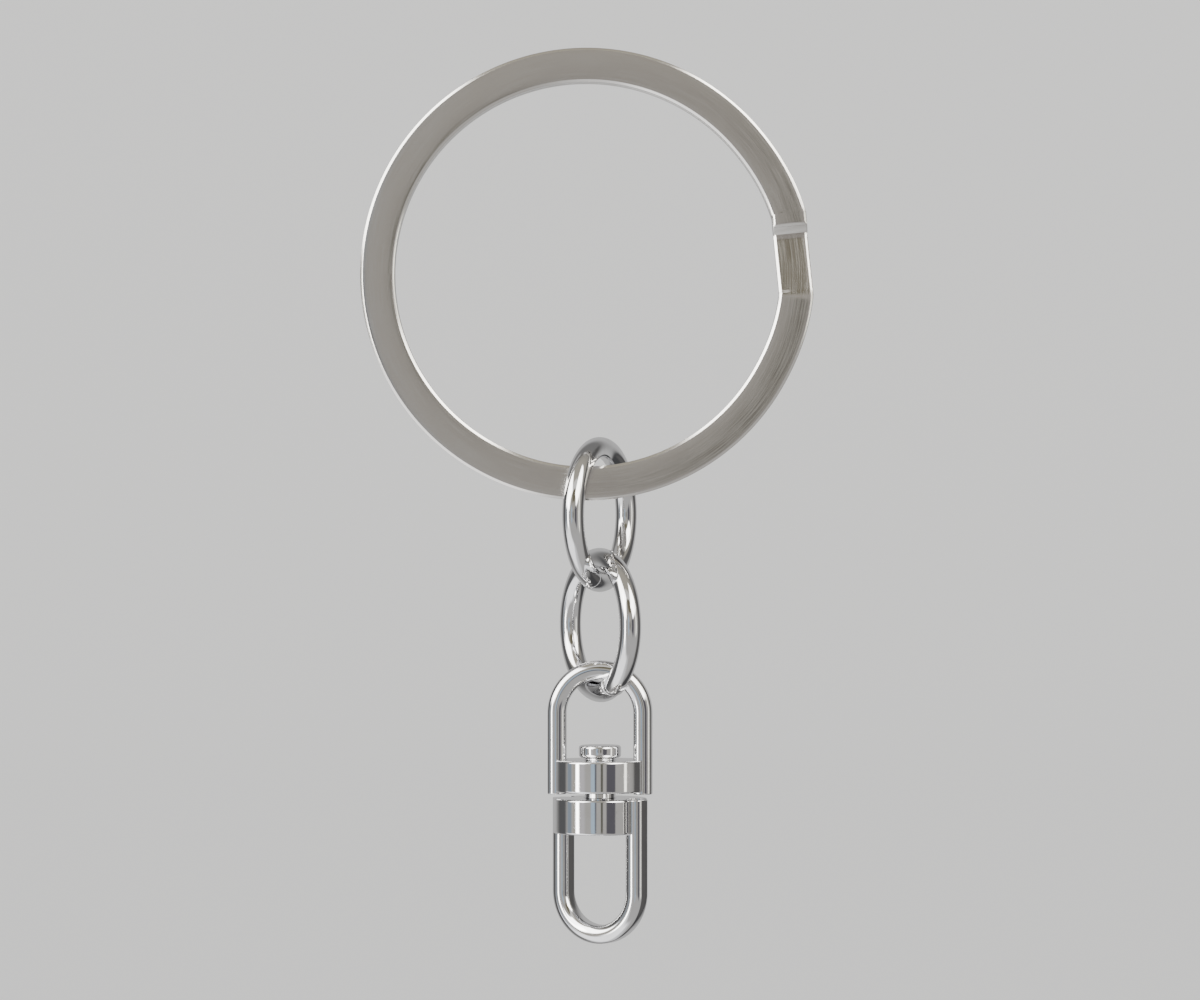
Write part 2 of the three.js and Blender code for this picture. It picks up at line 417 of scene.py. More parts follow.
class Nodes:
    """A short way to add and wire nodes in one tree."""

    def __init__(self, tree: bpy.types.NodeTree) -> None:
        """Keeps the tree that nodes are added to."""
        self.tree = tree

    def add(self, kind: str, **settings: object) -> bpy.types.Node:
        """Adds a node.

        Args:
            kind: Node type without its ShaderNode prefix.
            **settings: Properties of the node.

        Returns:
            The new node.
        """
        node = self.tree.nodes.new(kind if kind.startswith("Node") else f"ShaderNode{kind}")
        for key, value in settings.items():
            setattr(node, key, value)
        return node

    def put(self, value: object, socket: bpy.types.NodeSocket) -> None:
        """Links an output to a socket, or sets the socket to a constant.

        Args:
            value: Output socket or constant.
            socket: Input socket.
        """
        if isinstance(value, bpy.types.NodeSocket):
            self.tree.links.new(value, socket)
        else:
            socket.default_value = value

    def math(self, operation: str, *values: object, clamp: bool = False) -> bpy.types.NodeSocket:
        """Adds a Math node.

        Args:
            operation: Name of the operation.
            *values: Sockets or numbers for its inputs.
            clamp: Whether the result stays between 0 and 1.

        Returns:
            The result's socket.
        """
        node = self.add("Math", operation=operation, use_clamp=clamp)
        for i, value in enumerate(values):
            self.put(value, node.inputs[i])
        return node.outputs[0]

    def remap(self, value: object, low: object, high: object, to_low: object = 0.0,
              to_high: object = 1.0) -> bpy.types.NodeSocket:
        """Adds a smooth Map Range node.

        Args:
            value: Input value.
            low: Input that gives to_low.
            high: Input that gives to_high.
            to_low: Lowest result.
            to_high: Highest result.

        Returns:
            The result's socket.
        """
        node = self.add("MapRange", interpolation_type="SMOOTHSTEP")
        for i, part in enumerate((value, low, high, to_low, to_high)):
            self.put(part, node.inputs[i])
        return node.outputs[0]

    def noise(self, vector: object, scale: object, detail: float, roughness: float) -> bpy.types.NodeSocket:
        """Adds a Noise texture.

        Args:
            vector: Socket of coordinates.
            scale: Scale of the pattern.
            detail: Number of finer layers.
            roughness: Weight of the finer layers.

        Returns:
            The pattern's socket, around 0.5.
        """
        node = self.add("TexNoise")
        self.put(vector, node.inputs["Vector"])
        self.put(scale, node.inputs["Scale"])
        node.inputs["Detail"].default_value = detail
        node.inputs["Roughness"].default_value = roughness
        return node.outputs["Fac"]

    def blend(self, factor: object, first: object, second: object) -> bpy.types.NodeSocket:
        """Adds a colour Mix node.

        Args:
            factor: 0 gives first and 1 gives second.
            first: Colour or socket.
            second: Colour or socket.

        Returns:
            The mixed colour's socket.
        """
        node = self.add("Mix", data_type="RGBA")
        self.put(factor, node.inputs[0])
        self.put(first, node.inputs[6])
        self.put(second, node.inputs[7])
        return node.outputs[2]


@dataclass(frozen=True)
class Group:
    """A shader node group with named inputs and outputs."""

    tree: bpy.types.NodeTree

    @classmethod
    def new(cls, name: str, inputs: dict[str, tuple[str, float]], outputs: dict[str, str]) -> "Group":
        """Makes an empty group.

        Args:
            name: Name of the group.
            inputs: Socket name to its type and default value.
            outputs: Socket name to its type.

        Returns:
            The group, ready to be filled.
        """
        tree = bpy.data.node_groups.new(name, "ShaderNodeTree")
        for label, (kind, default) in inputs.items():
            socket = tree.interface.new_socket(label, in_out="INPUT", socket_type=kind)
            if kind == "NodeSocketFloat":
                socket.default_value = default
        for label, kind in outputs.items():
            tree.interface.new_socket(label, in_out="OUTPUT", socket_type=kind)
        return cls(tree)

    def place(self, nodes: Nodes, **values: object) -> bpy.types.Node:
        """Places the group in a material.

        Args:
            nodes: The material's nodes.
            **values: Socket name, with _ for each space, to its value or socket.

        Returns:
            The group's node.
        """
        node = nodes.add("Group")
        node.node_tree = self.tree
        for label, value in values.items():
            nodes.put(value, node.inputs[label.replace("_", " ")])
        return node


FLOAT, VECTOR = "NodeSocketFloat", "NodeSocketVector"
NOISE_MIDDLE = 0.5


def make_ripple_group() -> Group:
    """Makes the long, shallow unevenness that plating leaves on polished wire.

    Returns:
        A group from coordinates to a height.
    """
    group = Group.new(
        "plating_ripple",
        {"Place": (VECTOR, 0.0), "Waves per mm": (FLOAT, 0.4), "Height mm": (FLOAT, 0.002)},
        {"Height": FLOAT},
    )
    nodes = Nodes(group.tree)
    source, result = nodes.add("NodeGroupInput"), nodes.add("NodeGroupOutput")
    per_metre = nodes.math("DIVIDE", source.outputs["Waves per mm"], METRES_PER_MM)
    wave = nodes.noise(source.outputs["Place"], per_metre, detail=2.0, roughness=0.45)
    centred = nodes.math("SUBTRACT", wave, NOISE_MIDDLE)
    metres = nodes.math("MULTIPLY", source.outputs["Height mm"], METRES_PER_MM)
    height = nodes.math("MULTIPLY", centred, metres)
    nodes.put(height, result.inputs["Height"])
    return group


def make_handling_group() -> Group:
    """Makes the marks of use on bright metal: cloudy smears and hair-fine scratches.

    Returns:
        A group from coordinates to a smear mask, a scratch mask and a height.
    """
    group = Group.new(
        "handling_marks",
        {"Place": (VECTOR, 0.0), "Smear": (FLOAT, 0.5), "Scratches": (FLOAT, 0.5),
         "Depth mm": (FLOAT, 0.0006)},
        {"Smear mask": FLOAT, "Scratch mask": FLOAT, "Height": FLOAT},
    )
    clouds_per_metre, lines_per_metre, patches_per_metre = 650.0, 900.0, 420.0
    cloud_low, cloud_high = 0.46, 0.68
    patch_low, patch_high = 0.5, 0.62
    line_half_width = 0.012
    nodes = Nodes(group.tree)
    source, result = nodes.add("NodeGroupInput"), nodes.add("NodeGroupOutput")
    place = source.outputs["Place"]
    cloud = nodes.noise(place, clouds_per_metre, detail=5.0, roughness=0.6)
    smear = nodes.math("MULTIPLY", nodes.remap(cloud, cloud_low, cloud_high), source.outputs["Smear"])
    stretched = nodes.add("Mapping")
    nodes.put(place, stretched.inputs["Vector"])
    stretched.inputs["Rotation"].default_value = (0.6, 0.9, 0.4)
    stretched.inputs["Scale"].default_value = (1.0, 14.0, 5.0)
    lines = nodes.noise(stretched.outputs[0], lines_per_metre, detail=2.0, roughness=0.5)
    from_line = nodes.math("ABSOLUTE", nodes.math("SUBTRACT", lines, NOISE_MIDDLE))
    thin = nodes.remap(from_line, 0.0, line_half_width, 1.0, 0.0)
    patches = nodes.noise(place, patches_per_metre, detail=1.0, roughness=0.5)
    patches = nodes.remap(patches, patch_low, patch_high)
    scratch = nodes.math("MULTIPLY", nodes.math("MULTIPLY", thin, patches), source.outputs["Scratches"])
    cut = nodes.math("MULTIPLY", source.outputs["Depth mm"], -METRES_PER_MM)
    nodes.put(smear, result.inputs["Smear mask"])
    nodes.put(scratch, result.inputs["Scratch mask"])
    nodes.put(nodes.math("MULTIPLY", scratch, cut), result.inputs["Height"])
    return group


def make_circular_grain_group() -> Group:
    """Makes the fine grain that runs round a ring, as left by tumbling and rolling flat wire.

    Side is 1 on the wire's sides and 0 on its faces, where depth leaves the grain as it is.

    Returns:
        A group from coordinates about the ring's centre to a grain value and a height.
    """
    group = Group.new(
        "circular_grain",
        {"Place": (VECTOR, 0.0), "Lines per mm": (FLOAT, 16.0), "Length mm": (FLOAT, 3.0),
         "Depth mm": (FLOAT, 0.001), "Side": (FLOAT, 1.0)},
        {"Grain": FLOAT, "Height": FLOAT},
    )
    nodes = Nodes(group.tree)
    source, result = nodes.add("NodeGroupInput"), nodes.add("NodeGroupOutput")
    parts = nodes.add("SeparateXYZ")
    nodes.put(source.outputs["Place"], parts.inputs[0])
    x, y, z = parts.outputs
    radius = nodes.math("SQRT", nodes.math("ADD", nodes.math("MULTIPLY", x, x), nodes.math("MULTIPLY", z, z)))
    arc = nodes.math("MULTIPLY", nodes.math("ARCTAN2", z, x), radius)
    fine = nodes.math("DIVIDE", source.outputs["Lines per mm"], METRES_PER_MM)
    long = nodes.math("DIVIDE", 1.0 / METRES_PER_MM, source.outputs["Length mm"])
    bent = nodes.add("CombineXYZ")
    nodes.put(nodes.math("MULTIPLY", radius, fine), bent.inputs[0])
    nodes.put(nodes.math("MULTIPLY", arc, long), bent.inputs[1])
    through = nodes.math("MULTIPLY", y, source.outputs["Side"])
    nodes.put(nodes.math("MULTIPLY", through, fine), bent.inputs[2])
    grain = nodes.noise(bent.outputs[0], 1.0, detail=3.0, roughness=0.6)
    depth = nodes.math("MULTIPLY", source.outputs["Depth mm"], METRES_PER_MM)
    centred = nodes.math("SUBTRACT", grain, NOISE_MIDDLE)
    nodes.put(grain, result.inputs["Grain"])
    nodes.put(nodes.math("MULTIPLY", centred, depth), result.inputs["Height"])
    return group


@dataclass
class Effects:
    """The node groups that the finishes share."""

    ripple: Group = field(default_factory=make_ripple_group)
    handling: Group = field(default_factory=make_handling_group)
    grain: Group = field(default_factory=make_circular_grain_group)


# ---------------------------------------------------------------- finishes


class Slot(Enum):
    """Names of material slots for the three kinds of metal."""

    RING = "satin_nickel"
    LINKS = "chrome_links"
    SWIVEL = "chrome_swivel"


def new_material(name: str) -> tuple[bpy.types.Material, Nodes, bpy.types.Node]:
    """Starts a node material.

    Args:
        name: Name of the material.

    Returns:
        The material, its nodes, and its Principled BSDF.
    """
    material = bpy.data.materials.new(name)
    material.use_nodes = True
    shader = material.node_tree.nodes["Principled BSDF"]
    return material, Nodes(material.node_tree), shader


def finish_metal(nodes: Nodes, shader: bpy.types.Node, *heights: bpy.types.NodeSocket) -> None:
    """Makes a shader metal and gives it the relief of two patterns.

    Args:
        nodes: The material's nodes.
        shader: Its Principled BSDF.
        *heights: The two patterns' heights, in metres.
    """
    bump = nodes.add("Bump")
    bump.inputs["Distance"].default_value = 1.0
    nodes.put(nodes.math("ADD", *heights), bump.inputs["Height"])
    nodes.put(bump.outputs[0], shader.inputs["Normal"])
    shader.inputs["Metallic"].default_value = 1.0


@dataclass(frozen=True)
class BrightPlate:
    """Polished bright plate over bent wire or a turned disc."""

    name: str
    colour: Tone = (0.80, 0.80, 0.81, 1.0)
    smear_colour: Tone = (0.66, 0.65, 0.63, 1.0)
    roughness: float = 0.045
    smeared_roughness: float = 0.14
    ripple_height_mm: float = 0.006
    ripple_per_mm: float = 0.35
    smear: float = 0.3
    scratches: float = 0.5
    scratch_dullness: float = 0.6

    def material(self, effects: Effects) -> bpy.types.Material:
        """Builds the finish.

        Args:
            effects: The shared node groups.

        Returns:
            The material.
        """
        material, nodes, shader = new_material(self.name)
        place = nodes.add("TexCoord").outputs["Object"]
        ripple = effects.ripple.place(
            nodes, Place=place, Waves_per_mm=self.ripple_per_mm, Height_mm=self.ripple_height_mm)
        marks = effects.handling.place(nodes, Place=place, Smear=self.smear, Scratches=self.scratches)
        smear, scratch = marks.outputs["Smear mask"], marks.outputs["Scratch mask"]
        dull = nodes.math("ADD", smear, nodes.math("MULTIPLY", scratch, self.scratch_dullness), clamp=True)
        nodes.put(nodes.blend(dull, self.colour, self.smear_colour), shader.inputs["Base Color"])
        nodes.put(nodes.remap(dull, 0.0, 1.0, self.roughness, self.smeared_roughness),
                  shader.inputs["Roughness"])
        finish_metal(nodes, shader, ripple.outputs["Height"], marks.outputs["Height"])
        return material


@dataclass(frozen=True)
class SatinPlate:
    """Satin plate on flat wire: dull on the rolled faces and smoother, burnished, on the edges, whose lighter
    colour is a painted highlight.
    """

    name: str
    ring_centre: Vector
    colour: Tone = (0.625, 0.597, 0.57, 1.0)
    # Lighter colour for the grain's mottle, and for the painted highlight on the edges.
    grain_and_edge_highlight_colour: Tone = (0.76, 0.74, 0.71, 1.0)
    face_roughness: float = 0.18
    edge_roughness: float = 0.14
    grain_roughness: float = 0.04
    smear_roughness: float = 0.08
    grain_tint: float = 0.35
    face_flatness: float = 0.95
    edge_flatness: float = 0.85

    def material(self, effects: Effects) -> bpy.types.Material:
        """Builds the finish.

        Args:
            effects: The shared node groups.

        Returns:
            The material.
        """
        material, nodes, shader = new_material(self.name)
        centred = nodes.add("VectorMath", operation="SUBTRACT")
        nodes.put(nodes.add("TexCoord").outputs["Object"], centred.inputs[0])
        centred.inputs[1].default_value = self.ring_centre * METRES_PER_MM
        place = centred.outputs[0]
        facing = nodes.add("SeparateXYZ")
        nodes.put(nodes.add("TexCoord").outputs["Normal"], facing.inputs[0])
        flatness = nodes.math("ABSOLUTE", facing.outputs["Y"])
        edge = nodes.remap(flatness, self.face_flatness, self.edge_flatness)
        grain = effects.grain.place(
            nodes, Place=place, Lines_per_mm=14.0, Length_mm=4.0, Depth_mm=0.0012, Side=edge)
        marks = effects.handling.place(nodes, Place=place, Smear=0.2, Scratches=0.5, Depth_mm=0.0008)
        mottled = nodes.remap(grain.outputs["Grain"], 0.3, 0.7)
        tone = nodes.blend(nodes.math("MULTIPLY", mottled, self.grain_tint), self.colour, self.grain_and_edge_highlight_colour)
        # Painted highlight: the edges take the lighter colour, standing in for the bright light that their
        # bevels mirror.
        colour = nodes.blend(edge, tone, self.grain_and_edge_highlight_colour)
        nodes.put(colour, shader.inputs["Base Color"])
        smoothest = self.face_roughness - self.grain_roughness
        roughest = self.face_roughness + self.grain_roughness
        face_rough = nodes.remap(mottled, 0.0, 1.0, smoothest, roughest)
        scuff = nodes.math("MULTIPLY", marks.outputs["Smear mask"], self.smear_roughness)
        scuffed = nodes.math("ADD", face_rough, scuff)
        drop = nodes.math("MULTIPLY", edge, self.face_roughness - self.edge_roughness)
        nodes.put(nodes.math("SUBTRACT", scuffed, drop), shader.inputs["Roughness"])
        finish_metal(nodes, shader, grain.outputs["Height"], marks.outputs["Height"])
        return material


# ---------------------------------------------------------------- pieces


def dress(piece: bpy.types.Object, material: bpy.types.Material, body: str, node: str) -> None:
    """Gives a piece its finish and its place in the frame.

    Args:
        piece: The new piece.
        material: Its finish.
        body: Body of the frame that it moves with.
        node: Solid of the frame that it stands for.
    """
    piece.data.materials.append(material)
    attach(piece, body)
    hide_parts(node)
    log.info("%s rides on %s with %d vertices", piece.name, body, len(piece.data.vertices))


@dataclass
class SplitRing:
    """Two turns of flat wire, with the jog between them and two tapered cut ends."""

    box: NodeBox
    wire_width: float = 2.265
    turn_gap: float = 0.06
    edge_cut_width: float = 0.17
    edge_cut_depth: float = 0.1
    edge_round: float = 0.03
    face_crown: float = 0.016
    free_end_angle: float = 11.3
    free_end_bevel: float = 0.65
    jog_start: float = -5.8
    jog_end: float = 10.9
    chord_centre: float = 5.25
    chord_half: float = 10.75
    shoulder_rise: float = 0.1
    shoulder_fade: float = 25.0
    crease: float = 0.05
    end_round: float = 0.05
    edge_round_steps: int = 3
    face_marks: tuple[float, ...] = (0.12, 0.4, 0.7, 1.0)
    side_marks: tuple[float, ...] = (1.0, 0.4, 0.0, -0.4, -1.0)
    steps: int = 1300

    @property
    def outer_radius(self) -> float:
        """Outer radius, from the plain left side of the ring."""
        return -self.box.low.x

    @property
    def mid_radius(self) -> float:
        """Radius of the wire's centre line away from the jog."""
        return self.outer_radius - self.wire_width / 2

    @property
    def centre(self) -> Vector:
        """Centre of the ring."""
        return Vector((0.0, 0.0, self.box.high.z - self.outer_radius))

    @property
    def turn_thickness(self) -> float:
        """Thickness of one turn of the wire."""
        return (self.box.size.y - self.turn_gap) / 2

    def _radius(self, angle: float) -> float:
        """Finds the centre line's radius, with the straight stretch of the jog.

        Args:
            angle: Angle in degrees from +X towards +Z.

        Returns:
            The radius.
        """
        away = abs((angle - self.chord_centre + 180.0) % 360.0 - 180.0)
        shoulder = self.mid_radius + self.shoulder_rise
        if away < self.chord_half:
            return shoulder * math.cos(math.radians(self.chord_half)) / math.cos(math.radians(away))
        part = min((away - self.chord_half) / self.shoulder_fade, 1.0)
        return shoulder - self.shoulder_rise * part * part * (3 - 2 * part)

    def _jog(self, part: float) -> float:
        """Eases a straight ramp at both of its ends, so that each crease has a small radius.

        Args:
            part: How far along the jog, from 0 to 1.

        Returns:
            How far the wire has moved from the front layer to the back one, from 0 to 1.
        """
        if part > 0.5:
            return 1.0 - self._jog(1.0 - part)
        low = max(part + self.crease, 0.0)
        if low < 2 * self.crease:
            return low * low / (4 * self.crease)
        return part

    def _route(self, distance: float) -> Vector:
        """Follows the wire at mid radius, from the front cut end to the back one.

        Args:
            distance: Distance from the front cut end.

        Returns:
            Point on the centre line.
        """
        angle = self.free_end_angle + math.degrees(distance / self.mid_radius)
        start, end = 360.0 + self.jog_start, 360.0 + self.jog_end
        part = (angle - start) / (end - start)
        layer = (self.turn_thickness + self.turn_gap) / 2
        radius = self._radius(angle)
        turn = math.radians(angle)
        across = Vector((radius * math.cos(turn), 0.0, radius * math.sin(turn)))
        return self.centre + across + DEPTH_AXIS * (layer * (2 * self._jog(part) - 1))

    def _section(self) -> Outline:
        """Draws the wire's section: low crowned faces, flat sides and a shallow cut at each edge.

        Returns:
            Corners in order, the first half mirroring the last half.
        """
        depth, across = self.turn_thickness / 2, self.wire_width / 2
        flat = across - self.edge_cut_width
        face = [(depth - self.face_crown * q * q, flat * q) for q in self.face_marks]
        side = depth - self.face_crown - self.edge_cut_depth
        sides = [(side * q, across) for q in self.side_marks]
        half = [*face, *sides, *[(-d, a) for d, a in reversed(face)]]
        return [*half, *[(d, -a) for d, a in reversed(half)]]

    def build(self, material: bpy.types.Material) -> None:
        """Builds and dresses the ring.

        Args:
            material: The ring's finish.
        """
        last_angle = 720.0 + self.jog_start + self.jog_end - self.free_end_angle
        wire = Wire(
            outline=rounded(self._section(), self.edge_round, self.edge_round_steps),
            route=self._route,
            length=math.radians(last_angle - self.free_end_angle) * self.mid_radius,
            steps=self.steps,
            end_round=self.end_round,
            end_bevel=self.free_end_bevel,
        )
        piece = wire.mesh("split_ring_wire")
        dress(piece, material, "ring", "split_ring")


@dataclass
class JumpRing:
    """A ring of round wire, closed with a butt joint that doesn't quite meet."""

    node: str
    turn: float
    joint_angle: float
    wire_diameter: float = 1.43
    joint_gap: float = 0.09
    joint_step: float = 0.03
    joint_ease: float = 20.0
    end_round: float = 0.07
    section_points: int = 40
    steps: int = 260

    def build(self, material: bpy.types.Material) -> None:
        """Builds and dresses the ring.

        Args:
            material: The ring's finish.
        """
        box = NodeBox.of(self.node)
        radius = (box.size.z - self.wire_diameter) / 2
        gap = self.joint_gap / radius
        start = math.radians(self.joint_angle) + gap / 2
        sweep = 2 * math.pi - gap

        def route(distance: float) -> Vector:
            """Follows the circle, with the two cut ends a hair out of line.

            Args:
                distance: Distance from the first cut end.

            Returns:
                Point on the centre line.
            """
            angle = distance / radius
            near = math.degrees(min(angle, sweep - angle)) / self.joint_ease
            side = 1.0 if angle < sweep / 2 else -1.0
            offset = side * self.joint_step * max(0.0, 1.0 - near) ** 2
            out = radius + offset
            return Vector((out * math.cos(start + angle), offset, out * math.sin(start + angle)))

        half = self.wire_diameter / 2
        outline = oval(half, half, self.section_points)
        wire = Wire(outline, route, sweep * radius, self.steps, self.end_round)
        piece = wire.mesh(f"{self.node}_wire")
        for vertex in piece.data.vertices:
            vertex.co.z += box.centre.z * METRES_PER_MM
        turn_about_z(piece, box.centre.x, self.turn)
        dress(piece, material, self.node, self.node)


@dataclass
class Hub:
    """A turned disc with a flat and a leg groove on each side, bored for the pin."""

    node: str
    body: str
    turn: float
    bore_radius: float
    radius: float = 3.14
    flat_offset: float = 2.8
    edge_round: float = 0.13
    edge_steps: int = 4
    edge_hold: float = 0.03
    groove_gap: float = 0.03
    groove_steps: int = 25
    lip_steps: int = 4
    arc_steps: int = 80

    def _outline(self, bail: "Bail") -> Outline:
        """Draws the disc from above.

        Args:
            bail: The bail whose legs lie in the grooves.

        Returns:
            Counter-clockwise points.
        """
        reach = math.degrees(math.acos(self.flat_offset / self.radius))
        wide, rise = bail.wire_width / 2 + self.groove_gap, bail.face_rise + self.groove_gap
        straight = bail.wire_depth / 2 - bail.face_rise
        mouth = math.degrees(math.acos((bail.leg_offset - self.flat_offset) / wide))
        outline: Outline = []
        for side in (0.0, 180.0):
            for i in range(self.groove_steps + 1):
                angle = math.radians(180 + mouth - 2 * mouth * i / self.groove_steps)
                y = rise * math.sin(angle)
                point = (bail.leg_offset + wide * math.cos(angle), y + math.copysign(straight, y))
                outline.append(turned(point, side))
            lip, corner = outline[-1], turned((self.radius, 0.0), reach + side)
            for i in range(1, self.lip_steps):
                outline.append(tuple(a + (b - a) * i / self.lip_steps for a, b in zip(lip, corner)))
            for i in range(self.arc_steps + 1):
                angle = reach + (180 - 2 * reach) * i / self.arc_steps
                outline.append(turned((self.radius, 0.0), angle + side))
        return outline

    def build(self, bail: "Bail", axis_x: float, material: bpy.types.Material) -> None:
        """Builds and dresses the disc.

        Args:
            bail: The bail whose legs lie in the grooves.
            axis_x: Where the swivel's axis crosses X.
            material: The disc's finish.
        """
        box = NodeBox.of(self.node)
        outline = self._outline(bail)
        step_angle = 2 * math.pi / len(outline)
        angles = [step_angle * (i - self.groove_steps / 2) for i in range(len(outline))]
        per_side = len(outline) // 2
        in_groove = [i % per_side <= self.groove_steps for i in range(len(outline))]
        build = bmesh.new()

        def rim(inset: float) -> Outline:
            """Draws the outline, eased all round but for the grooves, whose edges stay sharp.

            Args:
                inset: How far the outline is drawn in.

            Returns:
                The smaller outline.
            """
            moved = drawn_in(outline, inset)
            sharp = drawn_in(outline, max(0.0, inset - self.edge_round))
            return [a if grooved else b for grooved, a, b in zip(in_groove, sharp, moved)]

        def bore(growth: float) -> Outline:
            """Draws the bore, its points spread so that no spoke to the outline crosses a groove."""
            size = self.bore_radius + growth
            return [(size * math.cos(a), size * math.sin(a)) for a in angles]

        # A loop just beside each rounded rim keeps the wall and the two faces flat.
        beside = self.edge_round + self.edge_hold
        eased = [(0.0, beside)]
        for i in range(self.edge_steps + 1):
            angle = math.pi / 2 * i / self.edge_steps
            rise, inset = self.edge_round * (1 - math.cos(angle)), self.edge_round * (1 - math.sin(angle))
            eased.append((rise, inset))
        eased.append((beside, 0.0))
        bottom, top = box.low.z, box.high.z
        rising = [(bottom + rise, inset) for rise, inset in eased]
        falling = [(top - rise, inset) for rise, inset in reversed(eased)]
        outer = [level_loop(build, rim(inset), z) for z, inset in [*rising, *falling]]
        inner = [level_loop(build, bore(inset), z) for z, inset in [*reversed(falling), *reversed(rising)]]
        join_loops(build, [*outer, *inner, outer[0]])
        piece = finish_mesh(build, f"{self.node}_disc")
        turn_about_z(piece, axis_x, self.turn)
        dress(piece, material, self.body, self.node)


@dataclass
class Bail:
    """Crown-faced wire bent to a U, whose legs are cut square at the far side of the hub."""

    node: str
    body: str
    turn: float
    opens_down: bool
    leg_offset: float = 2.86
    wire_width: float = 1.24
    wire_depth: float = 1.5
    face_rise: float = 0.48
    end_round: float = 0.06
    section_points: int = 48
    steps: int = 240

    def build(self, axis_x: float, material: bpy.types.Material) -> None:
        """Builds and dresses the bail.

        Args:
            axis_x: Where the swivel's axis crosses X.
            material: The bail's finish.
        """
        box = NodeBox.of(self.node)
        away = 1.0 if self.opens_down else -1.0
        leg_end = box.low.z if self.opens_down else box.high.z
        crown = box.high.z if self.opens_down else box.low.z
        arch = crown - away * (self.wire_width / 2 + self.leg_offset)
        leg = abs(arch - leg_end)
        half_turn = math.pi * self.leg_offset

        def route(distance: float) -> Vector:
            """Follows one leg, the arch and the other leg.

            Args:
                distance: Distance from the first leg's end.

            Returns:
                Point on the centre line.
            """
            if distance < leg:
                return Vector((-self.leg_offset, 0.0, leg_end + away * distance))
            if distance > leg + half_turn:
                return Vector((self.leg_offset, 0.0, arch - away * (distance - leg - half_turn)))
            angle = math.pi - (distance - leg) / self.leg_offset
            x, z = self.leg_offset * math.cos(angle), self.leg_offset * math.sin(angle)
            return Vector((x, 0.0, arch + away * z))

        outline = barrel(self.wire_depth / 2, self.wire_width / 2, self.face_rise, self.section_points)
        wire = Wire(outline, route, 2 * leg + half_turn, self.steps, self.end_round)
        piece = wire.mesh(f"{self.node}_wire")
        turn_about_z(piece, axis_x, self.turn)
        dress(piece, material, self.body, self.node)


@dataclass
class SwivelPin:
    """A pin with a button head over the upper hub, flush under the lower hub."""

    shank_radius: float = 1.03
    head_height: float = 0.83
    head_round: float = 0.2
    neck_round: float = 0.06
    arc_steps: int = 5
    segments: int = 96

    def _profile(self, box: NodeBox) -> list[tuple[float, float]]:
        """Draws half of the pin's section, from the middle of its foot to the middle of its head.

        Args:
            box: Box of the pin's solid.

        Returns:
            Radius and height of each point.
        """
        head_radius = box.size.y / 2
        top, foot = box.high.z, box.low.z
        under = top - self.head_height
        points = [(self.shank_radius - self.neck_round, foot)]

        def arc(centre_r: float, centre_z: float, radius: float, first: float, last: float) -> None:
            """Adds an arc of points.

            Args:
                centre_r: Radius of the arc's centre.
                centre_z: Height of the arc's centre.
                radius: Radius of the arc.
                first: First angle in degrees, from outwards towards up.
                last: Last angle.
            """
            for i in range(self.arc_steps + 1):
                angle = math.radians(first + (last - first) * i / self.arc_steps)
                points.append((centre_r + radius * math.cos(angle), centre_z + radius * math.sin(angle)))

        small, big = self.neck_round, self.head_round
        arc(self.shank_radius - small, foot + small, small, -90, 0)
        arc(self.shank_radius + small, under - small, small, 180, 90)
        arc(head_radius - big, under + big, big, -90, 0)
        arc(head_radius - big, top - big, big, 0, 90)
        return points

    def build(self, axis_x: float, material: bpy.types.Material) -> None:
        """Builds and dresses the pin.

        Args:
            axis_x: Where the swivel's axis crosses X.
            material: The pin's finish.
        """
        build = bmesh.new()
        loops = []
        for radius, z in self._profile(NodeBox.of("swivel_pin")):
            loops.append(level_loop(build, oval(radius, radius, self.segments), z))
        join_loops(build, loops)
        build.faces.new(reversed(loops[0]))
        build.faces.new(loops[-1])
        piece = finish_mesh(build, "swivel_pin_turned")
        turn_about_z(piece, axis_x, 0.0)
        dress(piece, material, "swivel_bottom", "swivel_pin")


# ---------------------------------------------------------------- studio


@dataclass(frozen=True)
class SoftBox:
    """A soft source around the object, by its place in the studio, in degrees.

    Spread is the angle away from -Y, the viewer's side. Bearing is the way that it lies from there,
    from +X towards +Z.
    """

    spread: float
    half_spread: float
    bearing: float
    half_bearing: float
    colour: tuple[float, float, float]
    strength: float = 1.0
    softness: float = 4.0
    bearing_softness: float = 14.0


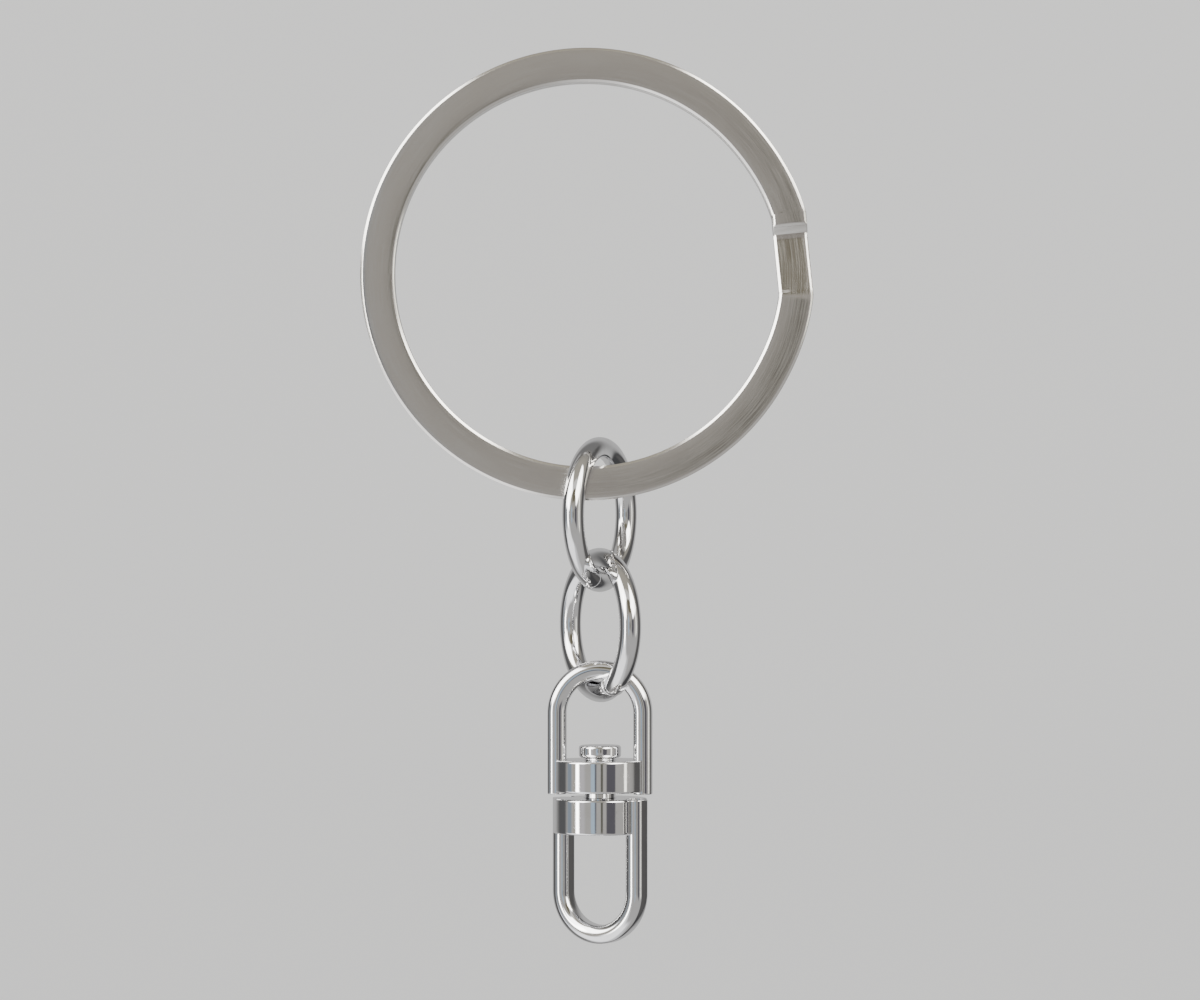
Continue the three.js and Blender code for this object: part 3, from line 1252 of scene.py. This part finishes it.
@dataclass
class Studio:
    """Plain pale floor and wall, and soft light in a grey surround that is paler at the rear."""

    floor_drop: float = 28.0
    floor_radius: float = 700.0
    wall_radius: float = 1300.0
    wall_height: float = 1500.0
    centre_radius: float = 0.5
    sweep_steps: int = 24
    round_steps: int = 96
    pale: Tone = (0.80, 0.80, 0.795, 1.0)
    paper_glow: float = 1.0
    paper_reflects: float = 0.12
    fibres_per_metre: float = 400.0
    fibre_tone: Tone = (0.5, 0.5, 0.5, 1.0)
    fibre_share: float = 0.04
    fill_heights: tuple[float, float] = (-30.0, 45.0)
    aside_spreads: tuple[float, float] = (74.0, 108.0)
    rear_spreads: tuple[float, float] = (120.0, 142.0)
    low_fill: Tone = (0.54, 0.53, 0.52, 1.0)
    high_fill: Tone = (0.47, 0.44, 0.37, 1.0)
    aside: Tone = (0.21, 0.207, 0.203, 1.0)
    rear: Tone = (0.58, 0.575, 0.57, 1.0)
    cards: tuple[SoftBox, ...] = (
        # Broad light from below and from the lower left.
        SoftBox(78, 40, 256, 31, (0.95, 0.95, 0.96), softness=14.0, bearing_softness=20.0),
        SoftBox(70, 32, 224, 40, (2.0, 2.0, 2.02), softness=12.0, bearing_softness=16.0),
        # Dimmer patches beyond the sides.
        SoftBox(100, 14, 122, 20, (0.50, 0.49, 0.48), softness=7.0, bearing_softness=9.0),
        SoftBox(112, 20, 322, 48, (0.072, 0.072, 0.074), softness=9.0, bearing_softness=16.0),
        SoftBox(107, 20, 0, 42, (0.118, 0.115, 0.113), softness=9.0),
        SoftBox(106, 18, 180, 36, (0.118, 0.118, 0.120), softness=9.0),
        # Over the viewer: a bright strip, and the warm dim patch that the jog's slope mirrors.
        SoftBox(43, 10, 90, 55, (0.95, 0.93, 0.88), softness=5.0),
        SoftBox(27, 11, 90, 38, (0.185, 0.168, 0.118)),
        # Close around the viewer: a bluish band and narrow dark ones.
        SoftBox(17, 7, 180, 45, (0.52, 0.66, 0.80), softness=3.0),
        SoftBox(11, 3, 180, 30, (0.16, 0.165, 0.185), softness=1.5),
        SoftBox(4.5, 4.5, 0, 70, (0.15, 0.148, 0.125), softness=2.0),
        SoftBox(27, 13, 0, 34, (0.125, 0.12, 0.135)),
        # At the left: a mid grey, a bluish and a warm band.
        SoftBox(45, 11, 176, 30, (0.66, 0.64, 0.65), softness=8.0),
        SoftBox(80, 8, 180, 26, (0.30, 0.35, 0.41)),
        SoftBox(67, 4, 180, 26, (0.50, 0.47, 0.41), softness=2.0),
        # The main lights: upper left, left, upper right and a thin one at the right.
        SoftBox(61, 23, 146, 29, (1.0, 0.99, 0.96), 8.0, bearing_softness=10.0),
        SoftBox(57, 6, 170, 34, (1.0, 0.99, 0.95), 12.0),
        SoftBox(52, 24, 42, 27, (1.0, 0.98, 0.93), 8.0, bearing_softness=10.0),
        SoftBox(65, 5, 10, 28, (1.0, 0.98, 0.88), 3.0, softness=3.0, bearing_softness=10.0),
    )

    def _soft_box_group(self) -> Group:
        """Makes the mask of one soft source.

        Returns:
            A group from a direction's spread and bearing to a mask.
        """
        labels = ("Spread", "Bearing", "Box spread", "Half spread", "Box bearing", "Half bearing",
                  "Softness", "Bearing softness")
        group = Group.new("soft_box", {label: (FLOAT, 0.0) for label in labels}, {"Mask": FLOAT})
        nodes = Nodes(group.tree)
        source, result = nodes.add("NodeGroupInput"), nodes.add("NodeGroupOutput")
        given = source.outputs
        aside = nodes.math("SUBTRACT", given["Spread"], given["Box spread"])
        turned_by = nodes.math("SUBTRACT", given["Bearing"], given["Box bearing"])
        round_by = nodes.math("WRAP", turned_by, 180.0, -180.0)
        masks = []
        for away, half, soft in ((aside, "Half spread", "Softness"),
                                 (round_by, "Half bearing", "Bearing softness")):
            start = nodes.math("SUBTRACT", given[half], given[soft])
            masks.append(nodes.remap(nodes.math("ABSOLUTE", away), start, given[half], 1.0, 0.0))
        nodes.put(nodes.math("MULTIPLY", *masks), result.inputs["Mask"])
        return group

    def _light(self) -> None:
        """Builds the surround: soft sources for the metal to mirror, and a pale tone for the eye."""
        world = bpy.data.worlds.new("studio")
        bpy.context.scene.world = world
        world.use_nodes = True
        nodes = Nodes(world.node_tree)
        background = world.node_tree.nodes["Background"]
        parts = nodes.add("SeparateXYZ")
        nodes.put(nodes.add("TexCoord").outputs["Generated"], parts.inputs[0])
        x, y, z = parts.outputs
        facing = nodes.math("MULTIPLY", y, -1.0)
        spread = nodes.math("MULTIPLY", nodes.math("ARCCOSINE", facing), DEGREES_PER_RADIAN)
        bearing = nodes.math("MULTIPLY", nodes.math("ARCTAN2", z, x), DEGREES_PER_RADIAN)
        height = nodes.math("MULTIPLY", nodes.math("ARCSINE", z), DEGREES_PER_RADIAN)
        fill = nodes.blend(nodes.remap(height, *self.fill_heights), self.low_fill, self.high_fill)
        total = nodes.blend(nodes.remap(spread, *self.aside_spreads), fill, self.aside)
        total = nodes.blend(nodes.remap(spread, *self.rear_spreads), total, self.rear)
        group = self._soft_box_group()

        def mask(box: SoftBox) -> bpy.types.NodeSocket:
            """Places one soft source's mask."""
            return group.place(
                nodes, Spread=spread, Bearing=bearing, Box_spread=box.spread, Half_spread=box.half_spread,
                Box_bearing=box.bearing, Half_bearing=box.half_bearing, Softness=box.softness,
                Bearing_softness=box.bearing_softness).outputs[0]

        for card in self.cards:
            tone = (*[part * card.strength for part in card.colour], 1.0)
            total = nodes.blend(mask(card), total, tone)
        seen = nodes.add("LightPath").outputs["Is Camera Ray"]
        nodes.put(nodes.blend(seen, total, self.pale), background.inputs["Color"])

    def _backdrop(self, low: float) -> None:
        """Builds the floor and the wall that it sweeps up into, on every side.

        Args:
            low: Height of the object's lowest point.
        """
        floor = low - self.floor_drop
        bend = self.wall_radius - self.floor_radius
        profile = [(self.centre_radius, floor), (self.floor_radius / 2, floor)]
        for i in range(self.sweep_steps + 1):
            angle = math.pi / 2 * i / self.sweep_steps
            profile.append((self.floor_radius + bend * math.sin(angle), floor + bend * (1 - math.cos(angle))))
        profile.append((self.wall_radius, self.wall_height))
        build = bmesh.new()
        loops = []
        for radius, z in profile:
            loops.append(level_loop(build, oval(radius, radius, self.round_steps), z))
        join_loops(build, loops)
        build.faces.new(loops[0])
        sweep = smooth_object(build, "pale_sweep")
        sweep.visible_glossy = False
        sweep.visible_diffuse = False
        sweep.visible_shadow = False
        sweep.visible_transmission = False
        material, nodes, shader = new_material("pale_paper")
        shader.inputs["Roughness"].default_value = 1.0
        shader.inputs["Specular IOR Level"].default_value = 0.0
        place = nodes.add("TexCoord").outputs["Object"]
        fibre = nodes.noise(place, self.fibres_per_metre, detail=4.0, roughness=0.6)
        tint = nodes.math("MULTIPLY", fibre, self.fibre_share)
        dim = (*[part * self.paper_reflects for part in self.pale[:3]], 1.0)
        nodes.put(dim, shader.inputs["Base Color"])
        nodes.put(nodes.blend(tint, self.pale, self.fibre_tone), shader.inputs["Emission Color"])
        shader.inputs["Emission Strength"].default_value = self.paper_glow
        sweep.data.materials.append(material)

    def build(self) -> None:
        """Builds the backdrop and the light."""
        self._backdrop(cad_low.z / METRES_PER_MM)
        self._light()
        log.info("studio with %d soft sources", len(self.cards))


@dataclass(frozen=True)
class Viewpoint:
    """Square-on view, with the chain on the middle line of the frame."""

    distance: float = 330.0
    view_width: float = 79.7
    aim_drop: float = 0.25
    sensor_width: float = 36.0

    def build(self, axis_x: float) -> None:
        """Makes the camera.

        Args:
            axis_x: Where the chain's line crosses X.
        """
        camera = bpy.data.cameras.new("camera")
        camera.sensor_width = self.sensor_width
        camera.lens = self.sensor_width * self.distance / self.view_width
        holder = bpy.data.objects.new("camera", camera)
        bpy.context.scene.collection.objects.link(holder)
        middle = (cad_low.z + cad_high.z) / 2
        holder.location = (axis_x * METRES_PER_MM, -self.distance * METRES_PER_MM,
                           middle - self.aim_drop * METRES_PER_MM)
        holder.rotation_euler = (math.pi / 2, 0.0, 0.0)
        bpy.context.scene.camera = holder


# ---------------------------------------------------------------- assembly


def main() -> None:
    """Builds every piece, the studio and the view."""
    logging.basicConfig(level=logging.INFO, format="%(name)s: %(message)s")
    effects = Effects()
    axis_x = NodeBox.of("swivel_pin").centre.x
    Viewpoint().build(axis_x)
    Studio().build()

    def bright(name: str, **settings: float) -> bpy.types.Material:
        """Makes a bright finish."""
        return BrightPlate(name, **settings).material(effects)

    ring = SplitRing(NodeBox.of("split_ring"))
    ring.build(SatinPlate("satin_nickel", ring.centre).material(effects))
    JumpRing("upper_link", turn=-113.4, joint_angle=-71.0).build(bright("bright_upper_link"))
    JumpRing("lower_link", turn=-63.2, joint_angle=-65.0).build(bright("bright_lower_link"))

    upper_bail = Bail("upper_bail", "swivel_top", turn=-5.0, opens_down=True)
    lower_bail = Bail("lower_bail", "swivel_bottom", turn=-32.0, opens_down=False)
    upper_bail.build(axis_x, bright("bright_upper_bail"))
    lower_bail.build(axis_x, bright("bright_lower_bail"))

    turned_ripple_mm = 0.001
    upper_hub = Hub("upper_hub", "swivel_top", upper_bail.turn, bore_radius=1.09)
    lower_hub = Hub("lower_hub", "swivel_bottom", lower_bail.turn, bore_radius=1.05)
    upper_hub.build(upper_bail, axis_x, bright("bright_upper_hub", ripple_height_mm=turned_ripple_mm))
    lower_hub.build(lower_bail, axis_x, bright("bright_lower_hub", ripple_height_mm=turned_ripple_mm))
    SwivelPin().build(axis_x, bright("bright_pin", ripple_height_mm=turned_ripple_mm))


if __name__ == "__main__":
    main()
